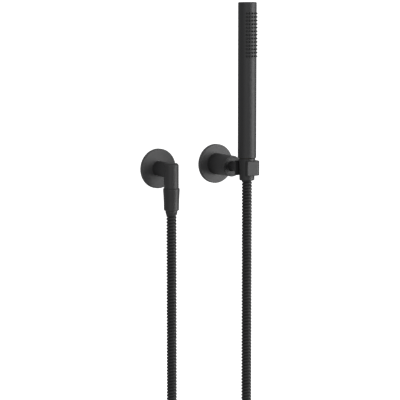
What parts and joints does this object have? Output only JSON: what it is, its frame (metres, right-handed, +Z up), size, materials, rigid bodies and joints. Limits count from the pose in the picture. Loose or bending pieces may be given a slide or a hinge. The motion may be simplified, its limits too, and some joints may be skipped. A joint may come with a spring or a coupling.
{
  "type": "hand shower set",
  "caption": "Stick hand shower in a swivelling wall holder, with a separate wall outlet elbow, round cover flanges and a hanging metal hose.",
  "frame": {"origin": "centre of the outlet elbow's inlet thread, at the finished wall face", "axes": "+X along the wall from the outlet to the bracket, -Y out of the wall, +Z up along the hand shower"},
  "size_m": [0.1632, 0.132, 0.8417],
  "materials": {
    "black_flange": "satin black powder coat",
    "black_metal": "satin black powder coat",
    "black_holder": "satin black powder coat",
    "black_tube": "satin black powder coat",
    "black_nut": "satin black powder coat",
    "black_ferrule": "satin black powder coat",
    "hose_metal": "satin black over steel",
    "rubber": "matt",
    "foam_rubber": "matt closed-cell foam",
    "silicone": "matt silicone",
    "lining_plastic": "matt",
    "white_plastic": "natural",
    "brass": "turned",
    "steel": "machined"
  },
  "bodies": {
    "wall_set": {"outlet_flange": "black_flange", "outlet_flange_o_ring": "rubber", "outlet_flange_gasket": "foam_rubber", "wall_elbow": "black_metal", "inlet_nipple": "brass", "inlet_nipple_o_ring": "rubber", "check_valve_housing": "white_plastic", "check_valve_spring": "steel", "check_valve_o_ring": "rubber", "outlet_nipple": "black_metal", "outlet_washer": "rubber", "outlet_hose_tail": "brass", "outlet_ferrule": "black_ferrule", "hose_sheath": "hose_metal", "hose_liner": "rubber", "bracket_flange": "black_flange", "bracket_flange_o_ring": "rubber", "bracket_flange_gasket": "foam_rubber", "bracket_wall_plate": "steel", "bracket_screws": "steel", "bracket_body": "black_metal", "bracket_grub_screw": "steel", "swivel_disc_spring": "steel", "swivel_rear_washer": "white_plastic", "swivel_front_washer": "white_plastic", "swivel_threaded_ring": "black_metal"},
    "outlet_nut": {"outlet_hose_nut": "black_nut"},
    "check_poppet": {"check_valve_poppet": "white_plastic"},
    "holder_arm": {"swivel_spindle": "black_metal", "holder": "black_holder", "holder_liner": "lining_plastic", "stud_lock_screw": "steel", "handset_hose_tail": "brass", "handset_ferrule": "black_ferrule"},
    "hand_shower": {"handset_hose_nut": "black_nut", "handset_washer": "rubber", "shower_tube": "black_tube", "shower_end_cap": "black_tube", "end_cap_o_ring": "rubber", "nozzle_mat": "silicone", "nozzle_carrier": "white_plastic", "inner_pipe": "white_plastic", "inlet_connector": "brass", "connector_o_ring": "rubber", "connector_lock_screw": "steel", "flow_limiter": "white_plastic"}
  },
  "joints": [
    {"name": "holder_swivel", "type": "hinge", "parent": "wall_set", "child": "holder_arm", "pos_m": [0.1032, -0.0395, 0.0017], "axis": [0, -1, 0], "range_deg": [-30, 30], "deforming": ["hose_sheath", "hose_liner"]},
    {"name": "hand_shower_turn", "type": "hinge", "parent": "holder_arm", "child": "hand_shower", "pos_m": [0.1032, -0.0883, 0], "axis": [0, 0, 1], "continuous": true},
    {"name": "outlet_nut_turn", "type": "hinge", "parent": "wall_set", "child": "outlet_nut", "pos_m": [0, -0.0401, -0.04], "axis": [0, 0, 1], "continuous": true},
    {"name": "check_valve_open", "type": "slide", "parent": "wall_set", "child": "check_poppet", "axis": [0, 0, -1], "range_m": [0, 0.0025], "stiffness_N_per_m": 150, "springref_m": -0.003, "deforming": ["check_valve_spring"]}
  ]
}
